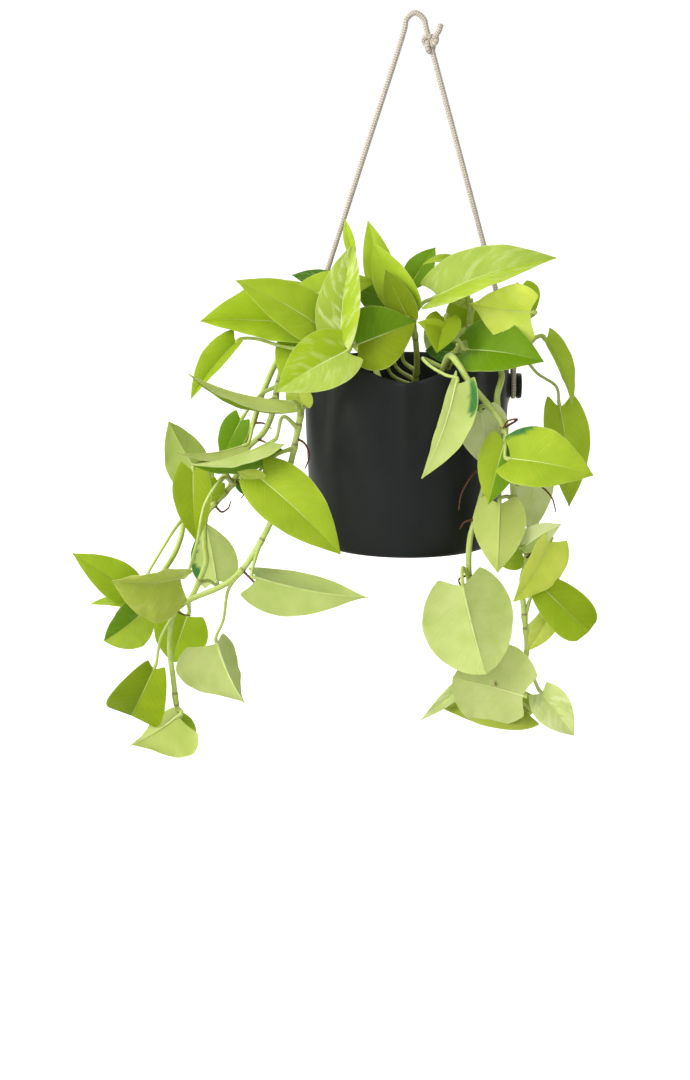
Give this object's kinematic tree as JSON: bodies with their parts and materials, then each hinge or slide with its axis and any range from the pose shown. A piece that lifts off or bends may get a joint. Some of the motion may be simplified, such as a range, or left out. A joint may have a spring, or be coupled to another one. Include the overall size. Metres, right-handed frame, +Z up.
{
  "type": "potted golden pothos in hanging pot",
  "caption": "Golden pothos with lime to golden-green leaves in a dark grey plastic hanging pot, stems trailing over the rim, hung on a braided two-tone rope",
  "frame": {"origin": "the point the rope hangs from, at the underside of its top bend", "axes": "+Z up, +Y from the pot's front to its back, +X to the right as seen from the front"},
  "size_m": [0.4508, 0.2819, 0.6396],
  "materials": {
    "pot_plastic": "satin moulded plastic",
    "potting_soil": "loose bark and peat",
    "braided_rope": "two-tone braid",
    "pothos_leaf": "waxy living leaf"
  },
  "bodies": {
    "root": {"pot": "pot_plastic", "soil": "potting_soil", "rope": "braided_rope", "vine_left_front": "pothos_leaf", "vine_left_middle": "pothos_leaf", "vine_left_back": "pothos_leaf", "spray_left": "pothos_leaf", "spray_centre": "pothos_leaf", "spray_right": "pothos_leaf", "vine_right_front": "pothos_leaf", "vine_right_side": "pothos_leaf", "spray_back_left": "pothos_leaf", "spray_back_right": "pothos_leaf"}
  },
  "joints": []
}
